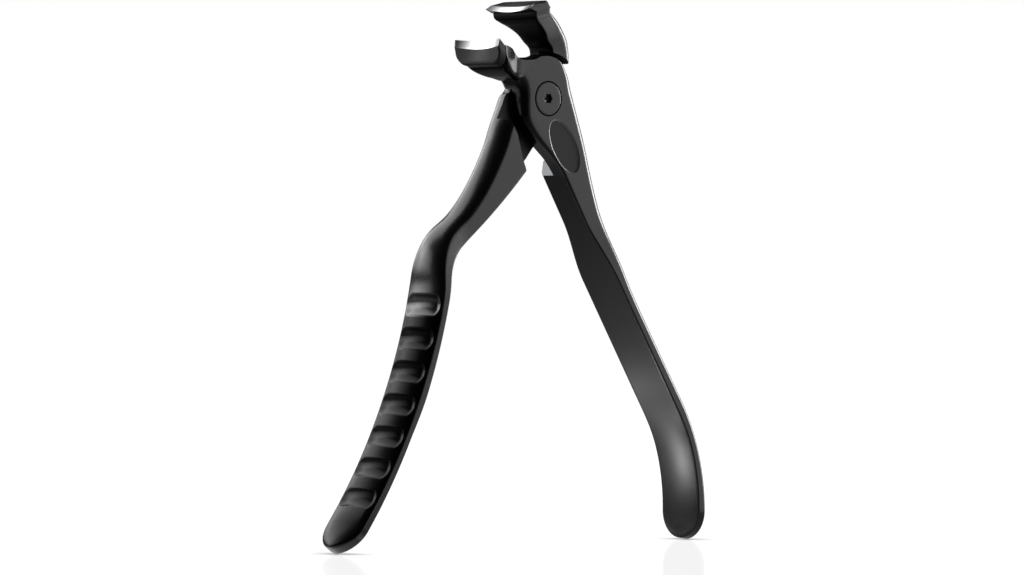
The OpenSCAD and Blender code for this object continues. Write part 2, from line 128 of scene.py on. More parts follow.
# Handle paths; a root is a radius and an angle about the pivot
HANDLE = 120.2
FRONT_ROOT = (21.2, 285.4)
FRONT_ROOT_EDGE = 8.1
FRONT_TAPER = 45.0
FRONT_WIDE = (14, 33)
FRONT_LEN = HANDLE * 0.9201
FRONT_DIR = -58.7
FRONT_PATH = [(FRONT_LEN * (1 - 0.3415), 0.0), (FRONT_LEN * 0.3415, -40.0)]
REAR_ROOT = (21.0, 249.2)
REAR_ROOT_EDGE = 8.9
REAR_TAPER = 46.0
REAR_WIDE = (14, 40)
REAR_LATE = (25, 46)
REAR_DIR = 225.5
SHANK = HANDLE * 0.2486
ELBOW = HANDLE * 0.0878
REAR_PATH = [(SHANK, -9.0), (ELBOW, 43.1), (HANDLE - SHANK - ELBOW, -28.6)]
ELBOW_AT = SHANK + 0.1 * ELBOW
ELBOW_EDGE = 1.9
ELBOW_FLAT = 2.6
ELBOW_SWELL = 24.0
LAND_AT = SHANK + ELBOW + 2.0
LAND_FLAT = 0.7
LAND_SWELL = 20.0

# Shares of a crown's height and of its half width in the outline seen from the front left
VIEW_UP = 0.876
VIEW_SIDE = 0.482

# Finger pockets of the rear grip
POCKETS = 7
POCKET_PITCH = 9.4
POCKET_LEN = 6.0
POCKET_DEPTH = 0.95
FIRST_POCKET = SHANK + ELBOW + 7.8
POCKET_FRONT = 7.0
POCKET_REAR = 6.5
POCKET_ROUND = 1.6
POCKET_FADE = 3.4


def polar(r, degrees):
    """The point at a radius and an angle."""
    a = np.radians(degrees)
    return np.array([r * np.cos(a), r * np.sin(a)])


def turned(p, degrees):
    """A point turned about the pivot."""
    a = np.radians(degrees)
    return np.array([p[0] * np.cos(a) - p[1] * np.sin(a), p[0] * np.sin(a) + p[1] * np.cos(a)])


def smooth(t):
    """A step from 0 to 1: three times the square less twice the cube of t."""
    u = np.clip(t, 0, 1)
    return u * u * (3 - 2 * u)


def mix(a, b, t):
    """The value a share t of the way from a to b."""
    return a + (b - a) * t


def stride(length, heading, turn):
    """Displacement along an arc: a chord of the length times sin(half turn) / half turn, at the mean
    heading."""
    half = np.radians(turn) / 2
    chord = length * np.sinc(half / np.pi)
    mean = np.radians(heading) + half
    return np.stack([chord * np.cos(mean), chord * np.sin(mean)], -1)


def walk(pieces, start, heading, s):
    """Place and heading at each length s of a path of arcs, given as pieces of length and turn."""
    place = np.zeros((len(s), 2))
    head = np.zeros(len(s))
    begin = 0.0
    for length, turn in pieces:
        on = s >= begin - 1e-9
        share = (s[on] - begin) / length
        place[on] = start + stride(s[on] - begin, heading, turn * share)
        head[on] = heading + turn * share
        start = start + stride(length, heading, turn)
        heading += turn
        begin += length
    return place, head


def handle_rows(pieces, start, heading, side, root_edge, taper, wide, late, swell, s):
    """Section rows of a handle at lengths s: flat inner point, crowned outer point, half width, crown
    height and corner radius. The edge thins with the square of the length left to the taper's end, grows
    toward the tip by the power 1.5 of the length and swells by a squared cosine at the elbow; the last half
    width is rounded off as a half circle. The bar widens late and its crown stays round over the elbow, a
    little flatter on the land before the first pocket; the edge is then set so that the outline seen from
    the front left stays that of a bar that widens early and is flat over the elbow."""
    total = sum(piece[0] for piece in pieces)
    place, head = walk(pieces, start, heading, s)
    u = np.clip((s - total + HALF_GRIP) / HALF_GRIP, 0, 1)
    round_end = np.sqrt(1 - u * u)
    thin = (1 - np.clip(s / taper, 0, 1)) ** 2
    early = mix(HALF_T, HALF_GRIP, smooth((s - wide[0]) / (wide[1] - wide[0]))) * round_end
    half = mix(HALF_T, HALF_GRIP, smooth((s - late[0]) / (late[1] - late[0]))) * round_end
    rise = np.cos(np.pi * np.clip((s - swell) / ELBOW_SWELL, -0.5, 0.5)) ** 2
    growth = (TIP_EDGE - GRIP_EDGE) * (s / total) ** 1.5
    edge = mix(GRIP_EDGE, root_edge, thin) + growth + ELBOW_EDGE * rise
    flat = CROWN - growth - ELBOW_FLAT * rise
    land = np.cos(np.pi * np.clip((s - swell + ELBOW_AT - LAND_AT) / LAND_SWELL, -0.5, 0.5)) ** 2
    full = CROWN - growth - LAND_FLAT * land
    seen_early = np.hypot(VIEW_UP * flat, VIEW_SIDE * early)
    seen_late = np.hypot(VIEW_UP * full, VIEW_SIDE * half)
    edge = edge + (seen_early - seen_late) / VIEW_UP
    crown = full * mix(TIP_CROWN, 1, round_end)
    thick = edge + crown
    out = np.stack([np.cos(np.radians(head + side * 90)), np.sin(np.radians(head + side * 90))], -1)
    inset = TIP_INSET * (1 - round_end) * thick
    corner = np.minimum(mix(GRIP_CORNER, ROOT_CORNER, thin), 0.4 * half)
    inner = place + inset[:, None] * out
    outer = place + (thick + inset)[:, None] * out
    return np.column_stack([inner, outer, half, crown, corner])


def tip_lengths(total):
    """Lengths round a tip, spaced by the sine of the angle."""
    return total - HALF_GRIP + (HALF_GRIP - TIP_SHORT) * np.sin(np.radians(np.linspace(88, 4, 22)))


def pocket_lengths():
    """Lengths over the pockets from the last to the first, with a row on every rim."""
    k = np.arange(POCKETS - 1, -1, -1)[:, None]
    land = POCKET_PITCH / POCKET_LEN * 2 - 1
    x = np.concatenate([np.linspace(1, -1, 21), np.linspace(-1, -land, 8)[1:-1]])
    return (FIRST_POCKET + k * POCKET_PITCH + x * POCKET_LEN / 2).ravel()


def eased(rows, steps):
    """Cubic (Catmull-Rom) rows through the given ones, from the first to the last."""
    n = len(rows)
    k = np.repeat(np.arange(n - 1), steps)
    u = (np.tile(np.arange(1, steps + 1), n - 1) / steps)[:, None]
    a, b, c, d = (rows[np.clip(k + j, 0, n - 1)] for j in (-1, 0, 1, 2))
    return (b + u * (c - a) / 2 + u ** 2 * (a - 2.5 * b + 2 * c - 0.5 * d)
            + u ** 3 * (1.5 * (b - c) + (d - a) / 2))


def pocket_dent(s, w):
    """Depth of the finger pockets at length s and width w: a shallow round trough across the grip, with a
    short round end toward the front edge and a long run-out toward the rear edge."""
    k = np.round((s - FIRST_POCKET) / POCKET_PITCH)
    x = 2 * (s - FIRST_POCKET - k * POCKET_PITCH) / POCKET_LEN
    end = np.where(w < 0, (-w - POCKET_FRONT + POCKET_ROUND) / POCKET_ROUND,
                   (w - POCKET_REAR + POCKET_FADE) / POCKET_FADE)
    share = 1 - x * x - np.clip(end, 0, None) ** 2
    return np.where((k >= 0) & (k < POCKETS), POCKET_DEPTH * np.clip(share, 0, None), 0.0)


# Steps round a section: angles of a corner, shares of a side and angles of the crown
CORNER = np.radians(np.linspace(90, 0, 8))
SIDE = np.linspace(0, 1, 10)[1:-1]
ROUND = np.radians(np.concatenate([np.linspace(0, 14, 5), np.linspace(16, 46, 22),
                                   np.linspace(50, 90, 11)]))


def skin(rows, s, pockets):
    """Rings of a lever: each runs round its section from the crown down the front side, across the inner
    face with its rounded corners and up the rear side. The inner face is hollow by a parabola of the width
    on the shank and domed by one on the grip. s gives the lengths along the handle."""
    inner, outer = rows[:, 0:2], rows[:, 2:4]
    half, crown, corner = (rows[:, k][:, None] for k in (4, 5, 6))
    thick = np.linalg.norm(outer - inner, axis=1)[:, None]
    way = (outer - inner) / thick
    middle = np.linspace(0, 1, 12)[:-1]
    flat_w = (half - corner) * middle
    depth = np.concatenate([0 * flat_w, corner * (1 - np.sin(CORNER)), mix(corner, thick - crown, SIDE),
                            thick - crown + crown * np.sin(ROUND)], 1)
    width = np.concatenate([flat_w, half - corner * (1 - np.cos(CORNER)), np.repeat(half, len(SIDE), 1),
                            half * np.cos(ROUND)], 1)
    depth = np.concatenate([depth[:, :0:-1], depth[:, :-1]], 1)
    width = np.concatenate([-width[:, :0:-1], width[:, :-1]], 1)
    on_crown = depth >= thick - crown
    at = s[:, None]
    rise = mix(-INNER_HOLLOW, INNER_DOME, smooth((at - DOME_FROM) / DOME_BLEND))
    dome = rise * np.clip(at / HOLLOW_FULL, 0, 1) * (width / half) ** 2
    depth = depth + np.where(on_crown, 0, dome * (1 - depth / (thick - crown)))
    if pockets:
        depth = depth - np.where(on_crown, pocket_dent(at, width), 0)
    flat = inner[:, None, :] + depth[..., None] * way[:, None, :]
    return np.stack([flat[..., 0], width, flat[..., 1]], -1)


def add_object(name, points, faces, mats=None):
    """A mesh object at the origin from points in millimetres about the pivot, normals outward."""
    mesh = bpy.data.meshes.new(name)
    mesh.from_pydata(((points.reshape(-1, 3) + PIVOT) * MM).tolist(), [], faces)
    if mats is not None:
        mesh.polygons.foreach_set("material_index", np.asarray(mats, np.int32))
    work = bmesh.new()
    work.from_mesh(mesh)
    bmesh.ops.remove_doubles(work, verts=work.verts, dist=1e-7)
    bmesh.ops.recalc_face_normals(work, faces=work.faces)
    work.to_mesh(mesh)
    work.free()
    piece = bpy.data.objects.new(name, mesh)
    bpy.context.scene.collection.objects.link(piece)
    return piece


def tube_faces(n, m):
    """Quads between n closed rings of m points, and the two end faces."""
    j, k = np.meshgrid(np.arange(n - 1), np.arange(m), indexing="ij")
    a, b = j * m + k, j * m + (k + 1) % m
    quads = np.stack([a, b, b + m, a + m], -1).reshape(-1, 4).tolist()
    return quads + [list(range(m)), list(range((n - 1) * m, n * m))]


def tube(name, rings, mats=None):
    """A closed solid over rings of equal length."""
    return add_object(name, rings, tube_faces(len(rings), rings.shape[1]), mats)


def prism(name, outline, levels, walls=0, ends=0):
    """A cutter: an outline of the X-Z plane carried along Y. A level is [y, outward offset]; walls and
    ends number the materials that its cut leaves."""
    shape = np.asarray(outline, float)
    ahead = np.roll(shape, -1, 0) - np.roll(shape, 1, 0)
    normal = np.stack([ahead[:, 1], -ahead[:, 0]], -1)
    normal /= np.linalg.norm(normal, axis=1, keepdims=True)
    rings = [np.column_stack([(shape + off * normal)[:, 0], np.full(len(shape), y),
                              (shape + off * normal)[:, 1]]) for y, off in levels]
    mats = np.full(len(shape) * (len(levels) - 1) + 2, ends)
    mats[:-2] = walls
    return tube(name, np.array(rings), mats)


def circle(r, n=96):
    """Points of a circle about the pivot."""
    a = np.linspace(0, 2 * np.pi, n, endpoint=False)
    return np.stack([r * np.cos(a), r * np.sin(a)], -1)


def sweep(r, first, last):
    """Points of an arc about the pivot, some three degrees apart."""
    a = np.linspace(first, last, max(2, int(abs(last - first) / 3)))
    return polar(r, a).T


def paint(piece, *materials):
    """Gives a piece its materials, in the order of their numbers."""
    for material in materials:
        piece.data.materials.append(material)
    return piece


def cut(piece, cutters):
    """Takes the cutters away from the piece and removes them."""
    for cutter in cutters:
        paint(cutter, *piece.data.materials)
        bite = piece.modifiers.new(cutter.name, "BOOLEAN")
        bite.operation = "DIFFERENCE"
        bite.solver = "EXACT"
        bite.object = cutter
    bpy.context.view_layer.update()
    whole = piece.evaluated_get(bpy.context.evaluated_depsgraph_get())
    carved = bpy.data.meshes.new_from_object(whole)
    old = piece.data
    piece.modifiers.clear()
    piece.data = carved
    bpy.data.meshes.remove(old)
    for cutter in cutters:
        bpy.data.objects.remove(cutter)
    return piece


# Edges: sharp from an angle in degrees, worn over a span of folds in radians, and the wear left one point on
SHARP_FROM = 32.0
FOLD_FROM = 0.35
FOLD_SPAN = 0.9
WEAR_LEFT = 0.55


def polish(piece):
    """Smooth shading up to an angle, and an attribute that rises along the worn edges: the sharpest
    fold beside each point, spread over its neighbours."""
    mesh = piece.data
    mesh.polygons.foreach_set("use_smooth", np.ones(len(mesh.polygons), bool))
    mesh.set_sharp_from_angle(angle=math.radians(SHARP_FROM))
    work = bmesh.new()
    work.from_mesh(mesh)
    fold = np.array([e.calc_face_angle(0.0) for e in work.edges])
    ends = np.array([[v.index for v in e.verts] for e in work.edges])
    work.free()
    worn = np.zeros(len(mesh.vertices))
    np.maximum.at(worn, ends.ravel(), np.repeat(np.clip((fold - FOLD_FROM) / FOLD_SPAN, 0, 1), 2))
    for _ in range(2):
        spread = worn.copy()
        np.maximum.at(spread, ends[:, 0], WEAR_LEFT * worn[ends[:, 1]])
        np.maximum.at(spread, ends[:, 1], WEAR_LEFT * worn[ends[:, 0]])
        worn = spread
    layer = mesh.attributes.new("worn", "FLOAT", "POINT")
    layer.data.foreach_set("value", worn.astype(np.float32))


# Jaw frame
EDGE = polar(EDGE_R, EDGE_ANGLE)
PARTING = polar(1, EDGE_ANGLE + PARTING_TILT)
BELOW = polar(1, EDGE_ANGLE + PARTING_TILT + 90)
TILT = np.radians(BEVEL_TILT)
LEAN = np.radians(PLATE_TILT)
BEVEL_END = BEVEL_H * np.array([-np.sin(TILT), np.cos(TILT)])
FACE_DIR = np.array([-np.sin(LEAN), np.cos(LEAN)])
INWARD = np.array([-np.cos(LEAN), -np.sin(LEAN)])


def blade_point(pq, side):
    """A point given along and across the parting line: side 1 is the lower jaw, -1 the opened upper one."""
    p = EDGE + pq[0] * PARTING + side * pq[1] * BELOW
    return p if side > 0 else turned(p, -OPENING)


def seat_point(length):
    """A point of the plate's back, at a length from the bevel."""
    return BEVEL_END + PLATE_T * INWARD + length * FACE_DIR


SEAT_TOP = seat_point(SEAT_RISE)
SEAT_HALF = HALF_EDGE - SEAT_STEP


def seat(side):
    """The two ends of a blade's seat: next to the foot and next to the edge."""
    return blade_point(seat_point(PLATE_H + FOOT_SLANT - SEAT_STEP), side), blade_point(SEAT_TOP, side)


def jaw_rows(foot, roof, side, shares, foot_shift, roof_shift, spread, crowns, corners):
    """Rows from the neck to the blade's seat: shares of the way, moved by the given shifts."""
    low, high = seat(side)
    rows = [[*(mix(foot, low, u) + np.array(a)), *(mix(roof, high, u) + np.array(b)),
             mix(HALF_T, SEAT_HALF, w), c, r]
            for u, a, b, w, c, r in zip(shares, foot_shift, roof_shift, spread, crowns, corners)]
    corner = LOWER_CORNER if side > 0 else UPPER_CORNER
    return rows + [[*low, *high, SEAT_HALF, SEAT_CROWN, corner - SEAT_STEP]]


def front_lever():
    """Right handle, front half of the lap and lower jaw, with the lap, the screw head's seat and the oval
    cut in."""
    root = polar(*FRONT_ROOT)
    s = np.concatenate([tip_lengths(FRONT_LEN), np.linspace(FRONT_LEN - HALF_GRIP, 0, 120)])
    handle = handle_rows(FRONT_PATH, root, FRONT_DIR, 1, FRONT_ROOT_EDGE, FRONT_TAPER, FRONT_WIDE,
                         FRONT_WIDE, -ELBOW_SWELL, s)
    left = [root + [-3.2, 4.1], [-3.9, -10.7], [-HEAD_LEFT + 0.9, -6.4], [-HEAD_LEFT, -2.4],
            [-HEAD_LEFT - 0.1, 0.4], [-HEAD_LEFT - 0.3, 2.2], [-HEAD_LEFT - 0.6, 3.3],
            [-HEAD_LEFT - 0.9, 4.0], [-HEAD_LEFT - 1.1, 4.4], [-HEAD_LEFT - 1.3, 4.7]]
    right = [[HEAD_RIGHT + 3.5, -10.4], [HEAD_RIGHT + 1.9, -5.6], [HEAD_RIGHT + 0.4, -1.2],
             [HEAD_RIGHT - 0.8, 2.6], [HEAD_RIGHT - 2.0, 6.0], polar(HEAD_R - 0.7, 52),
             polar(HEAD_R, 66), polar(HEAD_R, 82), polar(HEAD_R, 98), polar(HEAD_R - 0.1, 112)]
    crowns = [CROWN, CROWN, CROWN, 3.6, 3.0, 2.2, 1.6, 1.2, 1.1, 1.0]
    soft = [1.0, 1.5, 2.2, 2.7, 2.9, 2.9, 2.8, 2.6, 2.4, 2.1]
    rows = [[*a, *b, HALF_T, c, r] for a, b, c, r in zip(left, right, crowns, soft)]
    under, over = np.array([-10.2, 4.7]), np.array([-9.6, 11.1])
    rows.append([*under, *over, HALF_T + 0.2, 0.9, 1.8])
    rows += jaw_rows(under, over, 1, (0.25, 0.45, 0.7, 0.9),
                     [(0, -0.3), (0, -0.5), (0, -0.6), (0, -0.5)],
                     [(0, 0.55), (0, 1.2), (0, 1.0), (0, 0.55)],
                     (0.15, 0.4, 0.72, 0.95), (0.8, 0.7, 0.55, 0.4), (1.6, 1.6, 2.2, 3.2))
    head = eased(np.array([handle[-1], *rows]), 9)
    lengths = np.concatenate([s, np.zeros(len(head))])
    piece = tube("front_lever_skin", skin(np.concatenate([handle, head]), lengths, False))
    paint(piece, COAT, STEP, RIM, LAP, OVAL)
    step, rim, lap, oval_floor = range(1, 5)
    stop = np.array(STOP_AT)
    stop_angle = 360 + math.degrees(math.atan2(stop[1], stop[0]))
    behind = np.concatenate([sweep(LAP_R + LAP_GAP, 129, 172), sweep(FAR, 172, 270)])
    room = np.concatenate([behind, [root, stop],
                           sweep(np.hypot(*stop), stop_angle + 4, 318), sweep(FAR, 318, 489)])
    walls = np.where(np.arange(len(room)) == len(behind), step, lap)
    oval = turned(circle(1, 120).T * np.array(OVAL_HALF)[:, None], FRONT_DIR).T + OVAL_AT
    face = -HALF_T
    return cut(piece, [
        prism("lap_cut", room, [(-LAP_HALF, 0), (FAR, 0)], walls, lap),
        prism("head_cut", circle(SCREW_R + RIM_GAP), [(-FAR, SOFT_RIM), (face, SOFT_RIM),
                                                      (face + SOFT_RIM, 0), (face + SCREW_HEAD, 0)]),
        prism("oval_cut", oval, [(-FAR, 0), (face, 0), (face + OVAL_DEPTH, -OVAL_SLOPE)], rim, oval_floor)])


def rear_lever():
    """Left handle with its pockets, rear half of the lap and upper jaw, with the lap and the nut's seat
    cut in."""
    root = polar(*REAR_ROOT)
    grip = FIRST_POCKET - POCKET_PITCH + POCKET_LEN / 2
    s = np.concatenate([tip_lengths(HANDLE), [HANDLE - HALF_GRIP], pocket_lengths(),
                        np.linspace(grip, 0, 110)])
    handle = handle_rows(REAR_PATH, root, REAR_DIR, -1, REAR_ROOT_EDGE, REAR_TAPER, REAR_WIDE, REAR_LATE,
                         ELBOW_AT, s)
    right = [root + [3.5, 3.3], [-1.0, -12.8], [3.2, -8.9], [6.5, -5.3], [8.2, -2.0],
             [8.8, 1.4], [8.9, 4.4], [8.8, 7.0], [8.1, 9.5]]
    left = [[-14.5, -6.6], [-12.4, -2.5], [-10.9, 0.8], polar(LAP_R + 0.9, 171), polar(LAP_R, 162),
            polar(LAP_R, 150), polar(LAP_R, 128), polar(LAP_R, 106), [0.4, 10.4]]
    crowns = [CROWN - 0.2, CROWN - 0.8, 2.4, 1.8, 1.4, 1.1, 1.0, 0.9, 0.9]
    soft = [0.9, 1.0, 1.1, 1.2, 1.2, 1.2, 1.3, 1.5, 1.8]
    rows = [[*a, *b, HALF_T, c, r] for a, b, c, r in zip(right, left, crowns, soft)]
    outer, inner = np.array([8.4, 11.8]), np.array([0.7, 13.4])
    rows.append([*outer, *inner, HALF_T + 0.1, 0.9, 2.6])
    bulge = np.array([2.0, 2.4, 2.0, 0.9, -0.3])[:, None] * np.array([0.8, 0.6])
    rows += jaw_rows(outer, inner, -1, (0.2, 0.4, 0.6, 0.78, 0.92), bulge,
                     [(-0.1, 0), (0.2, 0.1), (-0.2, -0.1), (-0.6, -0.6), (-0.6, -0.8)],
                     (0.1, 0.28, 0.5, 0.72, 0.92), (0.9, 0.8, 0.7, 0.55, 0.4), (3.2, 3.6, 3.4, 2.6, 1.6))
    head = eased(np.array([handle[-1], *rows]), 9)
    lengths = np.concatenate([s, np.zeros(len(head))])
    piece = tube("rear_lever_skin", skin(np.concatenate([handle, head]), lengths, True))
    paint(piece, GRIP, LAP)
    lap = 1
    a = np.linspace(40, 102, 32)
    arm = polar(HEAD_R + LAP_GAP + 3 * smooth((a - 80) / 22), a).T
    shoulder = [[-15.9, -4.3], [-12.8, -6.1], [-10.7, -9.8], [-9.0, -15.9], root]
    jaw_reach = np.hypot(*shoulder[0]) + LAP_GAP
    room = np.concatenate([arm, sweep(jaw_reach, 103, 186), shoulder, sweep(FAR, 252, 400)])
    return cut(piece, [
        prism("lap_cut", room, [(-FAR, 0), (REAR_LAP, 0)], lap, lap),
        prism("nut_cut", circle(NUT_R + RIM_GAP), [(HALF_T - NUT_T - SIDE_PLAY, 0), (HALF_T - SOFT_RIM, 0),
                                                   (HALF_T, SOFT_RIM), (FAR, SOFT_RIM)])])


def curve(a, b, c, n):
    """n steps along parabolas from a to c that leave and arrive toward b; straight where a is b."""
    u = np.linspace(0, 1, n, endpoint=False)[None, :, None]
    a, b, c = a[:, None], b[:, None], c[:, None]
    return mix(mix(a, b, u), mix(b, c, u), u)


def blade(name, side):
    """A blade plate: its section is carried across the jaw, the edge and the bevel drawn in by a parabola
    of the width. The lower end follows a round corner, is rounded over by a parabola, and the face rolls
    back by a quarter circle at both sides. The bevel is the second material and the rounded end the
    third."""
    y = HALF_EDGE * np.sin(np.radians(np.linspace(-90, 90, 73)))
    hollow = EDGE_HOLLOW * (1 - (y / HALF_EDGE) ** 2)
    corner = LOWER_CORNER if side > 0 else UPPER_CORNER
    over = np.clip(np.abs(y) - HALF_EDGE + corner, 0, None)
    length = PLATE_H - (corner - np.sqrt(corner ** 2 - over ** 2))
    draw = np.stack([-hollow, 0 * hollow], -1)
    foot = BEVEL_END + hollow[:, None] * np.array(BEVEL_DRAW)
    tail = BEVEL_END + length[:, None] * FACE_DIR
    back = tail + PLATE_T * INWARD + FOOT_SLANT * FACE_DIR
    top = np.repeat(SEAT_TOP[None], len(y), 0)
    roll = np.clip((np.abs(y) - HALF_EDGE) / BLADE_SOFT + 1, 0, 1)
    roll = (BLADE_SOFT * (1 - np.sqrt(1 - roll ** 2)))[:, None] * INWARD
    foot, tail = foot + 0.5 * roll, tail + roll
    ahead, after = tail - BLADE_SOFT * FACE_DIR, mix(tail, back, BLADE_SOFT / PLATE_T)
    runs = [(draw, draw, foot), (foot, foot, ahead), (ahead, tail, after), (after, after, back),
            (back, back, top), (top, top, draw)]
    pq = np.concatenate([curve(*run, n) for run, n in zip(runs, BLADE_STEPS)], 1)
    p = EDGE + pq[..., :1] * PARTING + side * pq[..., 1:] * BELOW
    if side < 0:
        p = turned(np.moveaxis(p, -1, 0), -OPENING)
        p = np.moveaxis(p, 0, -1)
    rings = np.stack([p[..., 0], np.repeat(y[:, None], p.shape[1], 1), p[..., 1]], -1)
    faces = tube_faces(len(rings), rings.shape[1])
    k = np.arange(len(faces)) % rings.shape[1]
    bevel = BLADE_STEPS[0] if side > 0 else BLADE_STEPS[0] - 1
    kind = np.select([k < bevel, (k >= sum(BLADE_STEPS[:2])) & (k < sum(BLADE_STEPS[:4]))], [1, 2], 0)
    kind[-2:] = 0
    return add_object(name, rings, faces, kind)


def turned_rings(rows, steps):
    """Rings of points about the pivot axis from rows of [radius, y]; a radius may vary round the axis."""
    ring = circle(1, steps)
    return np.array([np.stack([r * ring[:, 0], np.full(steps, float(y)), r * ring[:, 1]], -1)
                     for r, y in rows])


def pivot_screw():
    """Flush head with a six-lobe drive, shoulder and thread; the drive's radius follows a power of the
    cosine of six times the angle."""
    a = np.linspace(0, 2 * np.pi, SCREW_STEPS, endpoint=False)
    lobes = mix(DRIVE_CORE, DRIVE_R, (0.5 + 0.5 * np.cos(6 * a)) ** 1.6)
    face = -HALF_T
    rows = [(0.02, face + DRIVE_DEPTH), (0.55 * lobes, face + DRIVE_DEPTH),
            (lobes, face + DRIVE_DEPTH - 0.1), (lobes, face + 0.1), (lobes + 0.03, face + 0.03),
            (lobes + DRIVE_SOFT, face)]
    rows += [(mix(lobes + DRIVE_SOFT, SCREW_R - RIM_ROUND, u), face) for u in (0.2, 0.45, 0.75, 1.0)]
    rows += [(SCREW_R - RIM_ROUND + RIM_ROUND * np.sin(t), face + RIM_ROUND * (1 - np.cos(t)))
             for t in np.radians([22.5, 45, 67.5, 90])]
    rows += [(SCREW_R, face + SCREW_HEAD), (SHOULDER_R, face + SCREW_HEAD), (SHOULDER_R, HALF_T - NUT_T),
             (THREAD_R, HALF_T - NUT_T), (THREAD_R, HALF_T - 0.4), (THREAD_R - 0.25, HALF_T - 0.2),
             (0.05, HALF_T - 0.2)]
    # The drive's walls and floor take the second material: painted shade in the recess
    in_drive = np.repeat(np.arange(len(rows) - 1) < 3, SCREW_STEPS)
    return tube("pivot_screw_turned", turned_rings(rows, SCREW_STEPS), np.append(in_drive, [True, False]))


def pivot_nut():
    """Round nut with a quarter-round rim and two spanner holes."""
    rim = [(NUT_R - RIM_ROUND + RIM_ROUND * math.sin(t), HALF_T - RIM_ROUND * (1 - math.cos(t)))
           for t in np.radians([90, 67.5, 45, 22.5, 0])]
    bore = THREAD_R + THREAD_PLAY
    rows = [(bore, HALF_T - NUT_T), (NUT_R, HALF_T - NUT_T), *rim, (THREAD_R + THREAD_SOFT, HALF_T),
            (bore, HALF_T - THREAD_SOFT), (bore, HALF_T - NUT_T)]
    rings = turned_rings(rows, NUT_STEPS)
    piece = add_object("pivot_nut_turned", rings, tube_faces(len(rings), NUT_STEPS)[:-2])
    reach = (THREAD_R + NUT_R) / 2
    holes = [prism("spanner_%d" % k, circle(SPANNER_R, 32) + [sign * reach, 0],
                   [(HALF_T - SPANNER_DEPTH, 0), (HALF_T - SOFT_RIM, 0), (HALF_T, SOFT_RIM),
                    (FAR, SOFT_RIM)])
             for k, sign in enumerate((-1, 1))]
    return cut(piece, holes)


# Materials

def new_group(name, sockets):
    """A shader node group with its named sockets: [name, direction, type, default]."""
    group = bpy.data.node_groups.new(name, "ShaderNodeTree")
    for label, way, kind, value in sockets:
        item = group.interface.new_socket(label, in_out=way, socket_type=kind)
        if value is not None:
            item.default_value = value
    return group, group.nodes.new("NodeGroupInput"), group.nodes.new("NodeGroupOutput")


def node(tree, kind, inputs=None, **props):
    """Adds a node, sets its properties, and links or sets its inputs."""
    made = tree.nodes.new(kind)
    for key, value in props.items():
        setattr(made, key, value)
    for key, value in (inputs or {}).items():
        if isinstance(value, bpy.types.NodeSocket):
            tree.links.new(value, made.inputs[key])
        else:
            made.inputs[key].default_value = value
    return made


def reckon(tree, operation, *values, **props):
    """The result of a Math node on values or sockets."""
    return node(tree, "ShaderNodeMath", dict(enumerate(values)), operation=operation, **props).outputs[0]


def ranged(tree, value, low, high, bottom=0.0, top=1.0, **props):
    """A value carried from the span low to high onto the span bottom to top."""
    return node(tree, "ShaderNodeMapRange", {"Value": value, "From Min": low, "From Max": high,
                                             "To Min": bottom, "To Max": top}, **props).outputs["Result"]


def grain_group():
    """Fine satin grain of a coating: clouded roughness and colour, and a height for the bump."""
    group, enter, leave = new_group("satin_grain", [
        ("Color", "INPUT", "NodeSocketColor", (0.03, 0.03, 0.03, 1)),
        ("Light Color", "INPUT", "NodeSocketColor", (0.06, 0.06, 0.06, 1)),
        ("Roughness", "INPUT", "NodeSocketFloat", 0.35),
        ("Spread", "INPUT", "NodeSocketFloat", 0.1),
        ("Grain Scale", "INPUT", "NodeSocketFloat", 3000.0),
        ("Cloud Scale", "INPUT", "NodeSocketFloat", 90.0),
        ("Color", "OUTPUT", "NodeSocketColor", None),
        ("Roughness", "OUTPUT", "NodeSocketFloat", None),
        ("Height", "OUTPUT", "NodeSocketFloat", None)])
    where = node(group, "ShaderNodeTexCoord").outputs["Object"]
    grain = node(group, "ShaderNodeTexNoise", {"Vector": where, "Scale": enter.outputs["Grain Scale"],
                                               "Detail": 3.0, "Roughness": 0.6})
    cloud = node(group, "ShaderNodeTexNoise", {"Vector": where, "Scale": enter.outputs["Cloud Scale"],
                                               "Detail": 4.0, "Roughness": 0.55})
    both = reckon(group, "MULTIPLY", cloud.outputs["Fac"], grain.outputs["Fac"])
    tone = node(group, "ShaderNodeMix", {"Factor": both, "A": enter.outputs["Color"],
                                         "B": enter.outputs["Light Color"]}, data_type="RGBA")
    off = reckon(group, "SUBTRACT", cloud.outputs["Fac"], 0.5)
    vary = reckon(group, "MULTIPLY_ADD", off, enter.outputs["Spread"], enter.outputs["Roughness"])
    group.links.new(tone.outputs["Result"], leave.inputs["Color"])
    group.links.new(vary, leave.inputs["Roughness"])
    group.links.new(grain.outputs["Fac"], leave.inputs["Height"])
    return group


